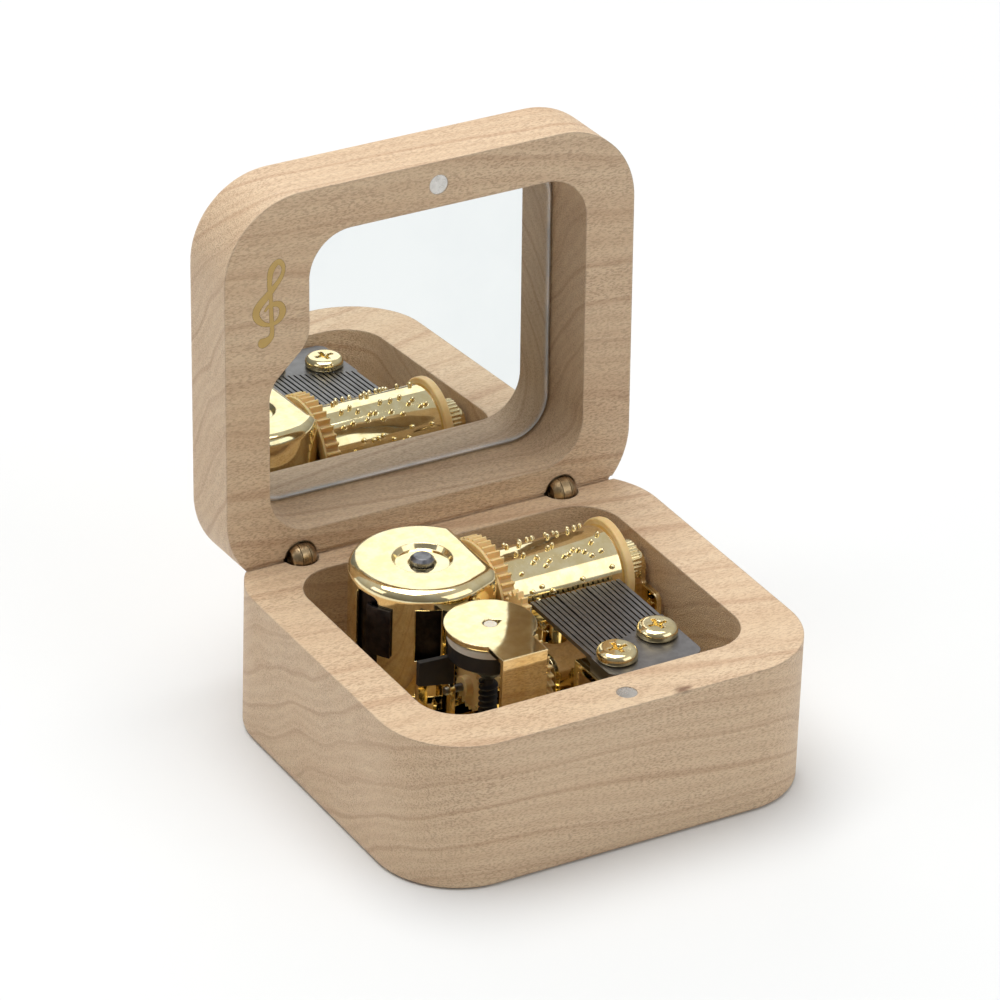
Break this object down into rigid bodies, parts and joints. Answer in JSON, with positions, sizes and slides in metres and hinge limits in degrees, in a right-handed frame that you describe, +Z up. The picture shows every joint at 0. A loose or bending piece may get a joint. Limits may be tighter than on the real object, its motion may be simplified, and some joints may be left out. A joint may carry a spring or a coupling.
{
  "type": "music box",
  "caption": "Small rounded wooden box with a hinged mirror lid, holding a key-wound pinned-cylinder movement with comb, spring housing and air-brake governor",
  "frame": {"origin": "centre of the flat underside of the base", "axes": "+Z up; +X to the right seen from the front, along the cylinder and the hinge line; +Y to the back, towards the lid hinge"},
  "size_m": [0.067, 0.0713, 0.0809],
  "materials": {
    "maple_base": "satin, clear-coated maple",
    "maple_lid": "satin, clear-coated maple",
    "gold_plate": "bright gold plating",
    "aged_brass": "antiqued",
    "inlay_brass": "flat brushed",
    "nickel": "nickel-plated",
    "glass": "silvered glass",
    "comb_steel": "dark ground spring steel",
    "spring_steel": "oil-blacked spring steel",
    "bright_steel": "turned",
    "nylon": "natural tan",
    "ivory_plastic": "smooth",
    "black_plastic": "smooth",
    "zinc": "zinc-plated"
  },
  "bodies": {
    "base": {"base_box": "maple_base", "base_magnet": "nickel", "base_hinge_barrels": "aged_brass", "hinge_pins": "aged_brass", "bedplate": "gold_plate", "fixing_screws": "zinc", "spring_housing": "gold_plate", "mainspring": "spring_steel", "spring_hook": "spring_steel", "cylinder_bracket": "gold_plate", "bracket_screws": "gold_plate", "comb": "comb_steel", "comb_screws": "gold_plate", "comb_bracket": "gold_plate", "comb_bracket_screws": "gold_plate", "governor_cap": "gold_plate", "governor_cap_screw": "gold_plate", "governor_foot_bearing": "gold_plate", "train_frame": "gold_plate", "frame_screws": "gold_plate", "side_plate": "black_plastic", "side_post": "gold_plate", "idler_stud": "bright_steel"},
    "lid": {"lid_shell": "maple_lid", "lid_magnet": "nickel", "lid_hinge_barrels": "aged_brass", "mirror_glass": "glass", "clef_inlay": "inlay_brass"},
    "cylinder": {"cylinder_tube": "gold_plate", "cylinder_pins": "gold_plate", "cylinder_gear": "nylon", "cylinder_end_flange": "nylon", "cylinder_shaft": "bright_steel"},
    "arbor": {"winding_arbor": "bright_steel", "crown_wheel": "gold_plate", "ratchet_wheel": "bright_steel", "ratchet_click": "bright_steel", "winding_key": "zinc"},
    "train": {"train_wheel": "nylon", "train_axle": "bright_steel"},
    "governor": {"governor_disc": "ivory_plastic", "governor_rotor": "black_plastic", "governor_spindle": "bright_steel"},
    "idler": {"idler_wheel": "nylon"}
  },
  "joints": [
    {"name": "lid_hinge", "type": "hinge", "parent": "base", "child": "lid", "pos_m": [0, 0.0266, 0.0233], "axis": [1, 0, 0], "range_deg": [0, 92]},
    {"name": "cylinder_spin", "type": "hinge", "parent": "base", "child": "cylinder", "pos_m": [0.01, 0.0092, 0.0202], "axis": [1, 0, 0], "continuous": true},
    {"name": "arbor_spin", "type": "hinge", "parent": "base", "child": "arbor", "pos_m": [-0.0114, 0.0092, 0.015], "axis": [0, 0, 1], "continuous": true},
    {"name": "train_spin", "type": "hinge", "parent": "base", "child": "train", "pos_m": [-0.006, -0.0041, 0.01533], "axis": [1, 0, 0], "continuous": true},
    {"name": "idler_spin", "type": "hinge", "parent": "base", "child": "idler", "pos_m": [-0.002, -0.00192, 0.02371], "axis": [1, 0, 0], "continuous": true},
    {"name": "governor_spin", "type": "hinge", "parent": "base", "child": "governor", "pos_m": [-0.0105, -0.0088, 0.018], "axis": [0, 0, 1], "continuous": true}
  ],
  "couplings": [
    {"joint": "arbor_spin", "follows": "cylinder_spin", "ratio": 0.91304},
    {"joint": "train_spin", "follows": "cylinder_spin", "ratio": -1.6154},
    {"joint": "idler_spin", "follows": "cylinder_spin", "ratio": -3},
    {"joint": "governor_spin", "follows": "cylinder_spin", "ratio": -38.769}
  ]
}
